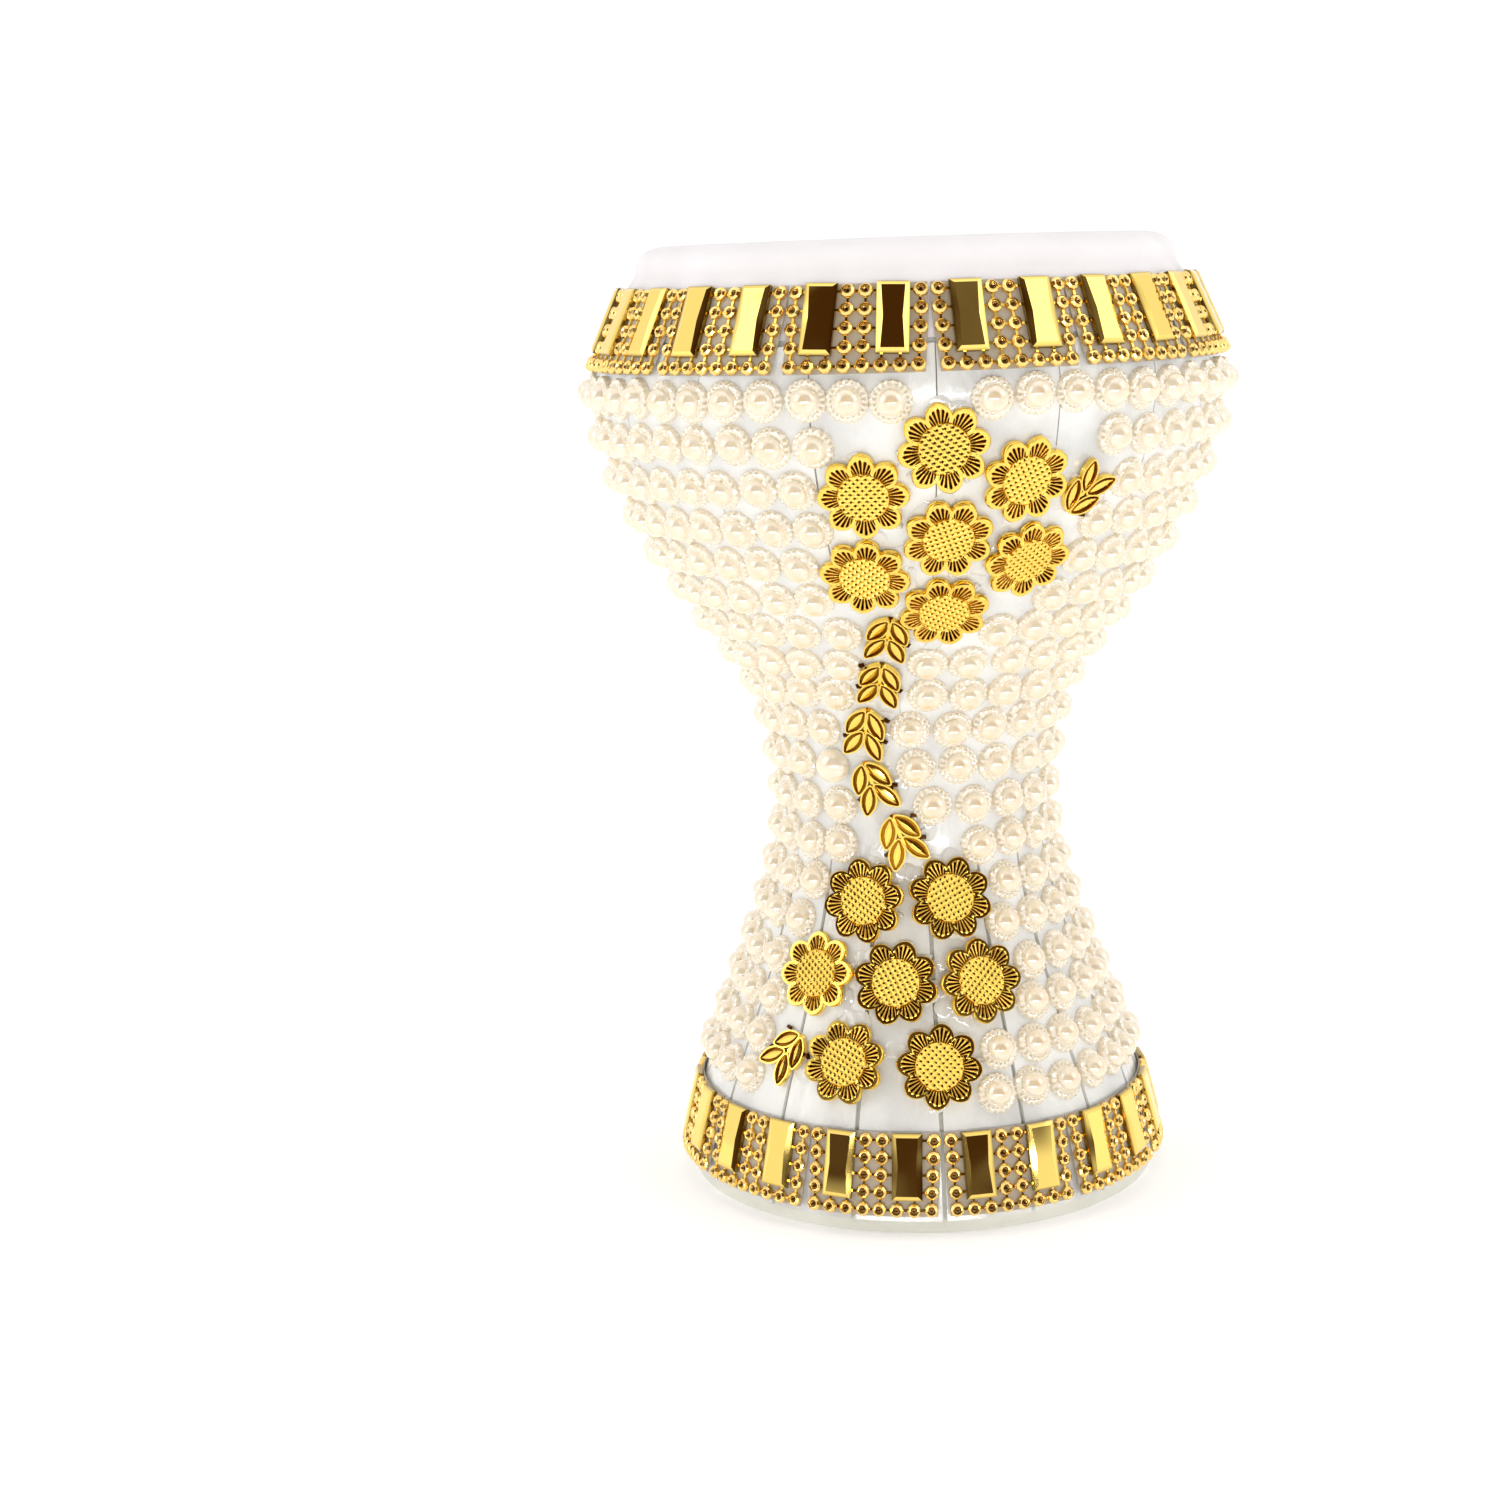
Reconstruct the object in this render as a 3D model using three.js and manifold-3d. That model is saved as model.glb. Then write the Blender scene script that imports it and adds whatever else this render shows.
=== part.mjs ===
// Darbuka: a hollow clay goblet drum with a glued skin, a white slit covering, two gold
// ribbons, gold flowers and leaf sprigs on the front, and rows of half-pearls all round.
// Millimetres, +Z up, origin at the centre of the foot, the dressed side faces -Y.
import * as THREE from 'three';
import { mergeVertices } from 'three/addons/utils/BufferGeometryUtils.js';
import Module from 'manifold-3d';

const wasm = await Module();
wasm.setup();

// ---- driving dimensions ----
const drumHeight = 260;
const wall = 7; // clay
const gap = 0.3; // air left between two separate pieces
const skinThickness = 0.6;
const coverThickness = 1.0;
const rimHeight = drumHeight - skinThickness - gap;

// outside of the clay, [height, radius], foot to rim
const clayStations = [
  [0, 66.0], [14, 63.2], [28, 59.8], [52, 50.0], [76, 41.2], [92, 36.8], [107, 35.1],
  [122, 36.6], [134, 39.3], [146, 44.6], [160, 54.8], [180, 68.4], [200, 78.4],
  [212, 82.2], [223, 83.7], [234, 81.6], [246, 76.0], [254, 71.2], [rimHeight, 68.0],
];

const tabs = 17; // tongues the covering is slit into
const facets = 2 * tabs;
const firstSlit = 5; // azimuth in degrees, from the front, growing to the right
const footSlit = 1.3;
const bowlSlit = 0.6;
const coverBottom = 4;
const coverTop = 233.5;
const footSlitTop = 98; // slits run from the lower edge up to here
const bowlSlitBottom = 170; // and from the upper edge down to here
const skirtRows = [236, 243, 250, 256]; // heights of the skin's skirt, its lower edge first
const headEdge = { inset: 1.5, under: 1.6, shoulder: 1.9, drop: 0.4 }; // rounded over the rim

const pearlPitch = 10.9;
const pearlRows = 19;
const pearlTopRow = 221.3;
const pearlBottomRow = 35;
const pearlLift = 0.5;
const giltLift = 0.6; // the gold pieces stand on a little glue
const pearlMiddle = { base: 10.4, top: 4.6, height: 4.8 };
const pearlNeck = { base: 4.8, top: 2.4, height: 1.6 };
const pearlClearance = 5.8; // from the edge of a gold piece to the middle of a pearl
const plainPearl = { row: 10, radius: 4.9, height: 4.6, facets: 10, shoulder: [0.8, 0.65] };

const flower = { tip: 11.2, valley: 9.9, petals: 8, plate: 1.5 };
const flowerDisc = { radius: 6.2, height: 2.1, sides: 12, turn: 7 };
const flowers = [
  { azimuth: 6.1, height: 209.7, turn: 10 },
  { azimuth: 20.9, height: 201.3, turn: 30 },
  { azimuth: -7.9, height: 198.5, turn: 0 },
  { azimuth: 7.5, height: 187.2, turn: 20 },
  { azimuth: 24.6, height: 180.6, turn: 5 },
  { azimuth: -9.4, height: 177.6, turn: 35 },
  { azimuth: 7.9, height: 167.6, turn: 15 },
  { azimuth: -19.8, height: 84.0, turn: 12 },
  { azimuth: 12.4, height: 84.6, turn: 25 },
  { azimuth: -34.8, height: 63.8, turn: 8 },
  { azimuth: -7.1, height: 63.2, turn: 30 },
  { azimuth: 20.2, height: 62.8, turn: 0 },
  { azimuth: -21.0, height: 42.6, turn: 20 },
  { azimuth: 5.2, height: 42.2, turn: 38 },
];

// a sprig is two pairs of leaves on a short stem; turn is measured from straight down
const sprig = { leaf: 8.6, width: 4.3, spread: 29, plate: 1.4 };
const leafRoots = { aside: 0.35, heights: [6.4, 0.2] };
const leafShape = [[0, 0], [0.5, 0.34], [0.5, 0.66], [0, 1], [-0.5, 0.66], [-0.5, 0.34]];
const stem = { width: 1.4, low: -3.4, high: 6.8 };
const sprigs = [
  { azimuth: -6.1, height: 160.6, turn: -12 },
  { azimuth: -10.1, height: 147.6, turn: -12 },
  { azimuth: -17.6, height: 132.4, turn: -12 },
  { azimuth: -16.4, height: 116.8, turn: 20 },
  { azimuth: -5.6, height: 101.6, turn: 22 },
  { azimuth: 33.4, height: 197.2, turn: 145 },
  { azimuth: -39.6, height: 42.6, turn: -35 },
];
// a sprig lies within two discs on its axis, one over each pair of leaves
const sprigDiscs = [{ along: 3, radius: 5 }, { along: -3, radius: 6.6 }];

const ribbon = { backing: 0.8, row: 4.7, lip: 0.6, thinnest: 0.2 };
const baguette = { height: 1.9, width: 8, bevel: 0.8 };
const topRibbon = { low: [86.5, 227.2], high: [76.6, 249.0], baguettes: 28, first: 4.5 };
const bottomRibbon = { low: [68.0, 5.2], high: [62.4, 27.2], baguettes: 22, first: 5 };
const notch = { width: 2.2, depth: 15, every: 2 };

// ---- materials ----
const finish = (color, roughness, metalness) =>
  new THREE.MeshStandardMaterial({ color, roughness, metalness });
const clayWhite = () => finish(0xece9e2, 0.85, 0);
const skinWhite = () => finish(0xf3f1ec, 0.5, 0);
const sheetWhite = () => finish(0xf4f3ef, 0.35, 0);
const pearlCream = () => finish(0xf0e4cc, 0.2, 0);
const gold = () => finish(0xd9a441, 0.25, 1);

// ---- helpers ----
const rad = THREE.MathUtils.degToRad;

// smooth curve through the stations
function clayRadius(z) {
  const s = clayStations;
  const last = s.length - 1;
  const i = Math.min(Math.max(s.findIndex(([h]) => h >= z), 1), last);
  const slope = (k) => {
    const a = s[Math.max(k - 1, 0)];
    const b = s[Math.min(k + 1, last)];
    return (b[1] - a[1]) / (b[0] - a[0]);
  };
  const [z0, r0] = s[i - 1];
  const [z1, r1] = s[i];
  const d = z1 - z0;
  const t = (z - z0) / d;
  const u = 1 - t;
  return r0 * (1 + 2 * t) * u * u + slope(i - 1) * d * t * u * u
    + r1 * t * t * (3 - 2 * t) - slope(i) * d * t * t * u;
}

// point on the outline moved outward along its normal, as [radius, height]
function offset(z, distance) {
  const tilt = Math.atan(clayRadius(z + 0.5) - clayRadius(z - 0.5));
  return [clayRadius(z) + distance * Math.cos(tilt), z - distance * Math.sin(tilt)];
}

const steps = (from, to, count) =>
  Array.from({ length: count + 1 }, (_, i) => from + ((to - from) * i) / count);

const polar = (azimuth, radius, z) =>
  new THREE.Vector3(radius * Math.sin(rad(azimuth)), -radius * Math.cos(rad(azimuth)), z);

const facetAzimuths = Array.from({ length: facets }, (_, i) => firstSlit + (i * 360) / facets);

// solid from triangles, welded and turned outward
function solid(triangles) {
  const kept = triangles.filter(([a, b, c]) =>
    a.distanceTo(b) > 1e-4 && b.distanceTo(c) > 1e-4 && c.distanceTo(a) > 1e-4);
  const volume = kept.reduce((sum, [a, b, c]) => sum + a.dot(b.clone().cross(c)), 0);
  const points = kept.flatMap(([a, b, c]) => (volume > 0 ? [a, b, c] : [a, c, b]));
  return mergeVertices(new THREE.BufferGeometry().setFromPoints(points), 1e-4);
}

const quad = (a, b, c, d) => [[a, b, c], [a, c, d]];

// skin over a run of outlines; a closed run comes back to its start
function sweep(sections, closed) {
  const triangles = [];
  const count = sections.length;
  const size = sections[0].length;
  for (let i = 0; i < (closed ? count : count - 1); i++) {
    const p = sections[i];
    const q = sections[(i + 1) % count];
    for (let j = 0; j < size; j++) {
      const k = (j + 1) % size;
      triangles.push(...quad(p[j], p[k], q[k], q[j]));
    }
  }
  if (!closed) {
    const a = sections[0];
    const b = sections[count - 1];
    for (let j = 1; j < size - 1; j++) {
      triangles.push([a[0], a[j + 1], a[j]], [b[0], b[j], b[j + 1]]);
    }
  }
  return solid(triangles);
}

const revolve = (outline) =>
  sweep(facetAzimuths.map((azimuth) => outline.map(([r, z]) => polar(azimuth, r, z))), true);

const prism = (points, thickness) => new THREE.ExtrudeGeometry(
  new THREE.Shape(points.map(([x, y]) => new THREE.Vector2(x, y))),
  { depth: thickness, bevelEnabled: false },
);

function join(geometries) {
  const parts = geometries.map((geometry) => {
    const bare = new THREE.BufferGeometry();
    bare.setAttribute('position', geometry.getAttribute('position').clone());
    if (geometry.index) bare.setIndex(geometry.index.clone());
    const welded = mergeVertices(bare, 1e-5);
    return new wasm.Manifold(new wasm.Mesh({
      numProp: 3,
      vertProperties: Float32Array.from(welded.getAttribute('position').array),
      triVerts: Uint32Array.from(welded.index.array),
    }));
  });
  const { numProp, vertProperties, triVerts } = wasm.Manifold.union(parts).getMesh();
  const geometry = new THREE.BufferGeometry();
  const position = new Float32Array((vertProperties.length / numProp) * 3);
  for (let i = 0; i < position.length / 3; i++) {
    for (let k = 0; k < 3; k++) position[3 * i + k] = vertProperties[numProp * i + k];
  }
  geometry.setAttribute('position', new THREE.BufferAttribute(position, 3));
  geometry.setIndex(new THREE.BufferAttribute(Uint32Array.from(triVerts), 1));
  return geometry;
}

// local frame on the covering: x to the right, y up the wall, z outward; a flat piece that
// reaches up and down the wall is lifted clear of the hollow it bridges
function onCover(azimuth, height, lift, reach) {
  const surface = (z) => offset(z, gap + coverThickness);
  const [r, z] = surface(height);
  const slope = clayRadius(height + 1) - clayRadius(height - 1);
  const length = Math.hypot(slope, 2);
  const rise = [reach, -reach].map((s) => {
    const [r1, z1] = surface(height + (s * 2) / length);
    return ((r1 - r) * 2 - (z1 - z) * slope) / length;
  });
  const away = lift + Math.max(0, ...rise);
  const up = polar(azimuth, slope, 2).normalize();
  const right = new THREE.Vector3(Math.cos(rad(azimuth)), Math.sin(rad(azimuth)), 0);
  const out = right.clone().cross(up);
  const origin = polar(azimuth, r, z).addScaledVector(out, away);
  return new THREE.Matrix4().makeBasis(right, up, out).setPosition(origin);
}

// length along the wall between two heights
function wallLength(from, to) {
  return steps(from, to, 40).slice(1).reduce((sum, z, i, list) => {
    const before = i ? list[i - 1] : from;
    return sum + Math.hypot(z - before, clayRadius(z) - clayRadius(before));
  }, 0);
}

const drum = new THREE.Group();
drum.name = 'darbuka';
function add(name, geometry, material) {
  const faceted = geometry.index ? geometry.toNonIndexed() : geometry;
  faceted.computeVertexNormals();
  const mesh = new THREE.Mesh(faceted, material);
  mesh.name = name;
  drum.add(mesh);
}

// heights shared by the clay, the covering and the skin, so their facets stay parallel
const coverRows = [
  ...steps(coverBottom, footSlitTop, 5), ...steps(footSlitTop, bowlSlitBottom, 6).slice(1),
  ...steps(bowlSlitBottom, coverTop, 5).slice(1),
];

// ---- clay goblet, open at both ends ----
const innerRadius = (z) => offset(z, -wall)[0];
add('clay_shell', revolve([
  ...[0, ...coverRows, ...skirtRows, rimHeight].map((z) => [clayRadius(z), z]),
  ...steps(rimHeight, 0, 11).map((z) => [innerRadius(z), z]),
]), clayWhite());

// ---- skin stretched over the rim, its skirt ending under the top ribbon ----
const rimCorner = clayRadius(rimHeight) - headEdge.inset;
add('drum_skin', revolve([
  [0, rimHeight + gap],
  [rimCorner + headEdge.under, rimHeight + gap],
  ...skirtRows.toReversed().map((z) => offset(z, gap)),
  ...skirtRows.map((z) => offset(z, gap + skinThickness)),
  [rimCorner + headEdge.shoulder, drumHeight - headEdge.drop],
  [rimCorner, drumHeight],
  [0, drumHeight],
]), skinWhite());

// ---- white covering, slit into tongues from both edges ----
function slitAt(z) {
  if (z < footSlitTop) return footSlit;
  return z > bowlSlitBottom ? bowlSlit : 0;
}
function coverPoint(i, side, z, lift) {
  const [r, h] = offset(z, gap + lift);
  const opening = i % 2 === 0 ? side * (slitAt(z) / 2 / r) : 0;
  return polar(facetAzimuths[i % facets] + THREE.MathUtils.radToDeg(opening), r, h);
}
const coverTriangles = [];
for (let i = 0; i < facets; i++) {
  coverRows.forEach((z, j) => {
    const next = coverRows[j + 1];
    const corner = (side, height, lift) =>
      coverPoint(side > 0 ? i : i + 1, side, height, lift);
    const edge = (height) => [
      corner(1, height, 0), corner(1, height, coverThickness),
      corner(-1, height, coverThickness), corner(-1, height, 0),
    ];
    const [a, b, c, d] = edge(z);
    if (j === 0) coverTriangles.push(...quad(a, b, c, d));
    if (next === undefined) {
      coverTriangles.push(...quad(d, c, b, a));
      return;
    }
    const [e, f, g, h] = edge(next);
    coverTriangles.push(...quad(b, f, g, c), ...quad(a, d, h, e));
    if (slitAt(z) || slitAt(next)) {
      coverTriangles.push(...(i % 2 === 0 ? quad(a, e, f, b) : quad(d, c, g, h)));
    }
  });
}
add('white_cover', solid(coverTriangles), sheetWhite());

// ---- gold ribbons: a backing band, raised baguettes, notches in the lower edge ----
function ribbonRing({ low, high, baguettes, first }) {
  const slant = Math.hypot(high[0] - low[0], high[1] - low[1]);
  const along = [(high[0] - low[0]) / slant, (high[1] - low[1]) / slant];
  const at = (azimuth, s, lift) => polar(
    azimuth, low[0] + along[0] * s + along[1] * lift, low[1] + along[1] * s - along[0] * lift,
  );
  const section = (azimuth, lift, lower) => [
    at(azimuth, lower, 0), at(azimuth, slant, 0), at(azimuth, slant - ribbon.lip, lift),
    at(azimuth, Math.max(ribbon.row + ribbon.lip, lower + 2 * ribbon.thinnest), lift),
    at(azimuth, Math.max(ribbon.row, lower + ribbon.thinnest), ribbon.backing),
    at(azimuth, lower, ribbon.backing),
  ];
  const flat = ribbon.backing;
  const perMm = 360 / (2 * Math.PI * low[0]);
  const sections = [];
  for (let i = 0; i < baguettes; i++) {
    const middle = first + (i * 360) / baguettes;
    const half = (baguette.width / 2) * perMm;
    const bevel = baguette.bevel * perMm;
    sections.push(
      section(middle - half, flat, 0), section(middle - half + bevel, baguette.height, 0),
      section(middle + half - bevel, baguette.height, 0), section(middle + half, flat, 0),
    );
    if (i % notch.every === notch.every - 1) {
      const between = middle + 180 / baguettes;
      const side = (notch.width / 2) * perMm;
      sections.push(
        section(between - side, flat, 0), section(between, flat, notch.depth),
        section(between + side, flat, 0),
      );
    }
  }
  return sweep(sections, true);
}
add('top_ribbon', ribbonRing(topRibbon), gold());
add('bottom_ribbon', ribbonRing(bottomRibbon), gold());

// ---- flowers ----
const ring = (count, radiusAt, turn) => Array.from({ length: count }, (_, i) => {
  const angle = rad(turn + (i * 360) / count);
  return [radiusAt(i) * Math.cos(angle), radiusAt(i) * Math.sin(angle)];
});
flowers.forEach(({ azimuth, height, turn }, i) => {
  const petals = ring(2 * flower.petals, (k) => (k % 2 ? flower.valley : flower.tip), turn);
  const disc = ring(flowerDisc.sides, () => flowerDisc.radius, turn + flowerDisc.turn);
  const body = join([prism(petals, flower.plate), prism(disc, flowerDisc.height)]);
  body.applyMatrix4(onCover(azimuth, height, giltLift, flower.tip));
  add(`flower_${String(i + 1).padStart(2, '0')}`, body, gold());
});

// ---- leaf sprigs ----
function leafOutline(side, rootHeight) {
  const angle = rad(side * sprig.spread);
  return leafShape.map(([w, l]) => {
    const x = w * sprig.width;
    const y = -l * sprig.leaf;
    return [
      side * leafRoots.aside + x * Math.cos(angle) - y * Math.sin(angle),
      rootHeight + x * Math.sin(angle) + y * Math.cos(angle),
    ];
  });
}
sprigs.forEach(({ azimuth, height, turn }, i) => {
  const half = stem.width / 2;
  const leaves = leafRoots.heights.flatMap((rootHeight) => [1, -1].map((side) =>
    prism(leafOutline(side, rootHeight), sprig.plate)));
  const stalk = [[-half, stem.low], [half, stem.low], [half, stem.high], [-half, stem.high]];
  const body = join([...leaves, prism(stalk, sprig.plate)]);
  body.applyMatrix4(onCover(azimuth, height, giltLift, sprig.leaf)
    .multiply(new THREE.Matrix4().makeRotationZ(rad(turn))));
  add(`leaf_sprig_${i + 1}`, body, gold());
});

// ---- pearl rows: each runs round the back and stops short of the gold pieces ----
function discOnSprig({ azimuth, height, turn }, { along, radius }) {
  const r = offset(height, coverThickness)[0];
  return {
    azimuth: azimuth - THREE.MathUtils.radToDeg((along * Math.sin(rad(turn))) / r),
    height: height + along * Math.cos(rad(turn)),
    reach: radius + pearlClearance,
  };
}
const gilt = [
  ...flowers.map((piece) => ({ ...piece, reach: flower.tip + pearlClearance })),
  ...sprigs.flatMap((piece) => sprigDiscs.map((disc) => discOnSprig(piece, disc))),
];
function opening(height) {
  const r = offset(height, coverThickness)[0];
  const spans = gilt.map((piece) => {
    const away = wallLength(Math.min(height, piece.height), Math.max(height, piece.height));
    if (away >= piece.reach) return null;
    const half = THREE.MathUtils.radToDeg(Math.sqrt(piece.reach ** 2 - away ** 2) / r);
    return [piece.azimuth - half, piece.azimuth + half];
  }).filter(Boolean);
  return [Math.min(...spans.map(([a]) => a)), Math.max(...spans.map(([, b]) => b))];
}
// equal steps along the wall, found by walking down it
const walk = 0.1;
function rowHeights() {
  const total = wallLength(pearlBottomRow, pearlTopRow);
  return Array.from({ length: pearlRows }, (_, i) => {
    const target = (total * i) / (pearlRows - 1);
    let height = pearlTopRow;
    while (wallLength(height, pearlTopRow) < target - walk / 2) height -= walk;
    return height;
  });
}
function pearlSection(azimuth, height, { base, top, height: rise }) {
  const frame = onCover(azimuth, height, pearlLift, pearlMiddle.base / 2);
  return [[-base / 2, 0], [base / 2, 0], [top / 2, rise], [-top / 2, rise]].map(
    ([y, z]) => new THREE.Vector3(0, y, z).applyMatrix4(frame),
  );
}
rowHeights().forEach((height, i) => {
  const [left, right] = opening(height);
  const r = offset(height, coverThickness)[0];
  const span = 360 - (right - left);
  const gaps = Math.round((rad(span) * r) / pearlPitch);
  const step = span / gaps;
  const count = i === plainPearl.row ? gaps : gaps + 1;
  const sections = [pearlSection(right - step / 2, height, pearlNeck)];
  for (let k = 0; k < count; k++) {
    sections.push(
      pearlSection(right + step * k, height, pearlMiddle),
      pearlSection(right + step * (k + 0.5), height, pearlNeck),
    );
  }
  add(`pearl_row_${String(i + 1).padStart(2, '0')}`, sweep(sections, false), pearlCream());
  if (i === plainPearl.row) {
    const [outer, upper] = plainPearl.shoulder;
    const outline = [[0, 0], [1, 0], [outer, upper], [0, 1]].map(([r, z]) =>
      new THREE.Vector2(r * plainPearl.radius, z * plainPearl.height));
    const dome = new THREE.LatheGeometry(outline, plainPearl.facets);
    dome.rotateX(Math.PI / 2);
    dome.applyMatrix4(onCover(left, height, pearlLift, plainPearl.radius));
    add('plain_pearl', join([dome]), pearlCream());
  }
});

export default drum;
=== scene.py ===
"""Darbuka: the look of the drum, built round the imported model.

Sizes below are millimetres and degrees. Azimuth 0 is the dressed front, -Y, and grows to the
right. Flowers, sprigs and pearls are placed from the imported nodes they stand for.
"""

import math

import bpy
import numpy as np
from mathutils import Matrix, Vector


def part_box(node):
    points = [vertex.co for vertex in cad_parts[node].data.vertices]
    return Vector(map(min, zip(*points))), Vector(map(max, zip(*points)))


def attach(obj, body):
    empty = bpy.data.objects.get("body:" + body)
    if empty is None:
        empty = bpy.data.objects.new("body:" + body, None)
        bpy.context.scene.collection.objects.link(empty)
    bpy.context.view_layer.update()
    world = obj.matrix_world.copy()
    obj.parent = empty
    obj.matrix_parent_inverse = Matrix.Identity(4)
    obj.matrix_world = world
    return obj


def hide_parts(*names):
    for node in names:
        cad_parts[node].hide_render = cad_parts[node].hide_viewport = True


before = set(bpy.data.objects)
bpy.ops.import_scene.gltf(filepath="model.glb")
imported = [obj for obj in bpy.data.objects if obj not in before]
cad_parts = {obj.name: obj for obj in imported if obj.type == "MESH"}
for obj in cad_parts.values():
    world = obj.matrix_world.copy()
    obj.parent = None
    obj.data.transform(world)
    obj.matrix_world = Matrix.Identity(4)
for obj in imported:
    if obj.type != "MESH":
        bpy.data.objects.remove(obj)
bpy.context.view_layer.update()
rng = np.random.default_rng(7)

# ---- driving dimensions ----
MM = 0.001
DRUM_HEIGHT = 260.0
WALL = 7.0  # thickness of the clay
SKIN = 0.6  # thickness of the hide
SHEET = 1.0  # thickness of the covering
GAP = 0.3  # left between one piece and the next
CLAY = np.array([
    (0, 66.0), (14, 63.2), (28, 59.8), (52, 50.0), (76, 41.2), (92, 36.8), (107, 35.1),
    (122, 36.6), (134, 39.3), (146, 44.6), (160, 54.8), (180, 68.4), (200, 78.4),
    (212, 82.2), (223, 83.7), (234, 81.6), (246, 76.0), (254, 71.2), (259.1, 68.0),
])  # outside of the clay: height, radius
RIM = CLAY[-1, 0]

SKIRT_BOTTOM = 235.5  # height of the hide's lower edge
COVER = (3.6, 234.0)  # heights of the covering's lower and upper edge
TABS = 17  # tongues round the covering
FIRST_SLIT = 5.0
SLIT_POINT = 14.0  # how far a slit narrows before its end
FOOT_SLIT = 1.15  # width at the covering's lower edge
FOOT_SLIT_TOP = 98.0
BOWL_SLIT = 0.35  # width at its upper edge
BOWL_SLIT_BOTTOM = 172.0

ROW_MIDDLE = 2.9  # how far the middle of a packed pearl stands off the covering
PEARL_LIFT = 0.45

PETALS = 8
HALF_PETAL = 180.0 / PETALS

SPRIG_TURNS = (-12, -12, -12, 20, 22, 145, -35)  # of each sprig on the wall, from upright
LEANING_SPRIG = "leaf_sprig_5"  # its lower end is pressed deeper into the glue
LEAN = 3.0

# low and high: radius and height of each edge; first: azimuth of the first section's edge
TOP_RIBBON = {"low": (86.5, 227.2), "high": (76.6, 249.0), "sections": 14, "first": 4.5}
BOTTOM_RIBBON = {"low": (68.0, 5.2), "high": (62.4, 27.2), "sections": 11, "first": 5.0}
STUD_PITCH = 4.55
ROWS = 5
COLUMNS = 8  # to a section
BAR_COLUMNS = (1, 2, 5, 6)  # two to a baguette, in every row but the lowest


# ---- the wall ----
def clay_radius(z):
    """Smooth curve through the stations."""
    z = np.asarray(z, float)
    heights, radii = CLAY.T
    slopes = np.empty(len(radii))
    slopes[1:-1] = (radii[2:] - radii[:-2]) / (heights[2:] - heights[:-2])
    slopes[0] = (radii[1] - radii[0]) / (heights[1] - heights[0])
    slopes[-1] = (radii[-1] - radii[-2]) / (heights[-1] - heights[-2])
    i = np.clip(np.searchsorted(heights, z), 1, len(radii) - 1)
    d = heights[i] - heights[i - 1]
    t = (z - heights[i - 1]) / d
    u = 1 - t
    return (radii[i - 1] * (1 + 2 * t) * u * u + slopes[i - 1] * d * t * u * u
            + radii[i] * t * t * (3 - 2 * t) - slopes[i] * d * t * t * u)


def wall(z, lift):
    """Point of the outline, moved out along its normal: radius, height."""
    tilt = np.arctan(clay_radius(z + 0.5) - clay_radius(z - 0.5))
    return clay_radius(z) + lift * np.cos(tilt), z - lift * np.sin(tilt)


def polar(azimuth, radius, height):
    """A point, or a whole array of them, from azimuth, radius and height."""
    a = np.radians(azimuth)
    return np.stack(np.broadcast_arrays(radius * np.sin(a), -radius * np.cos(a), height), -1)


def azimuth_of(points):
    return np.degrees(np.arctan2(points[..., 0], -points[..., 1]))


def unit(v):
    return v / np.linalg.norm(v)


def basis(right, up, out, origin):
    """The 4x4 frame with these three axes at this origin."""
    m = np.eye(4)
    m[:3, 0], m[:3, 1], m[:3, 2], m[:3, 3] = right, up, out, origin
    return m


def wall_frame(azimuth, z, lift):
    """x to the right, y up the wall, z outward."""
    slope = float(clay_radius(z + 1) - clay_radius(z - 1)) / 2
    up = unit(polar(azimuth, slope, 1.0))
    right = polar(azimuth + 90, 1.0, 0.0)
    out = np.cross(right, up)
    radius, height = wall(z, GAP + SHEET)
    return basis(right, up, out, polar(azimuth, radius, height) + lift * out)


def turned(degrees, axis=2):
    """A turn about x, y or z, counted 0, 1 and 2."""
    a = math.radians(degrees)
    m = np.eye(4)
    i, j = [(1, 2), (2, 0), (0, 1)][axis]
    m[i, i] = m[j, j] = math.cos(a)
    m[i, j], m[j, i] = -math.sin(a), math.sin(a)
    return m


def scaled(x, y, z):
    return np.diag([x, y, z, 1.0])


def shifted(x, y, z):
    m = np.eye(4)
    m[:3, 3] = x, y, z
    return m


def packed_points(node):
    """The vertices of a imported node, in millimetres."""
    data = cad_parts[node].data
    points = np.empty(len(data.vertices) * 3)
    data.vertices.foreach_get("co", points)
    return points.reshape(-1, 3) / MM


# ---- meshes ----
ROUND = 192  # facets round the drum


class Mesh:
    """Verts, faces and one number per vertex that the materials read as 'mark'."""

    def __init__(self):
        self.verts, self.quads, self.tris, self.marks, self.count = [], [], [], [], 0

    def add(self, verts, quads=(), tris=(), mark=0.0, at=None):
        verts = np.asarray(verts, float).reshape(-1, 3)
        if at is not None:
            verts = verts @ at[:3, :3].T + at[:3, 3]
        self.verts.append(verts)
        self.quads.append(np.asarray(quads, int).reshape(-1, 4) + self.count)
        self.tris.append(np.asarray(tris, int).reshape(-1, 3) + self.count)
        self.marks.append(np.broadcast_to(np.asarray(mark, float).ravel(), len(verts)))
        self.count += len(verts)
        return self

    def arrays(self):
        return (np.concatenate(self.verts), np.concatenate(self.quads),
                np.concatenate(self.tris), np.concatenate(self.marks))

    def copies(self, places):
        """This mesh, once for each 4x4 place."""
        verts, quads, tris, marks = self.arrays()
        out = Mesh()
        for place in places:
            out.add(verts, quads, tris, marks, place)
        return out

    def welded(self):
        verts, quads, tris, marks = self.arrays()
        _, first, back = np.unique(
            np.round(verts, 4), axis=0, return_index=True, return_inverse=True)
        back = back.ravel()
        return Mesh().add(verts[first], back[quads], back[tris], marks[first])


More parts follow.
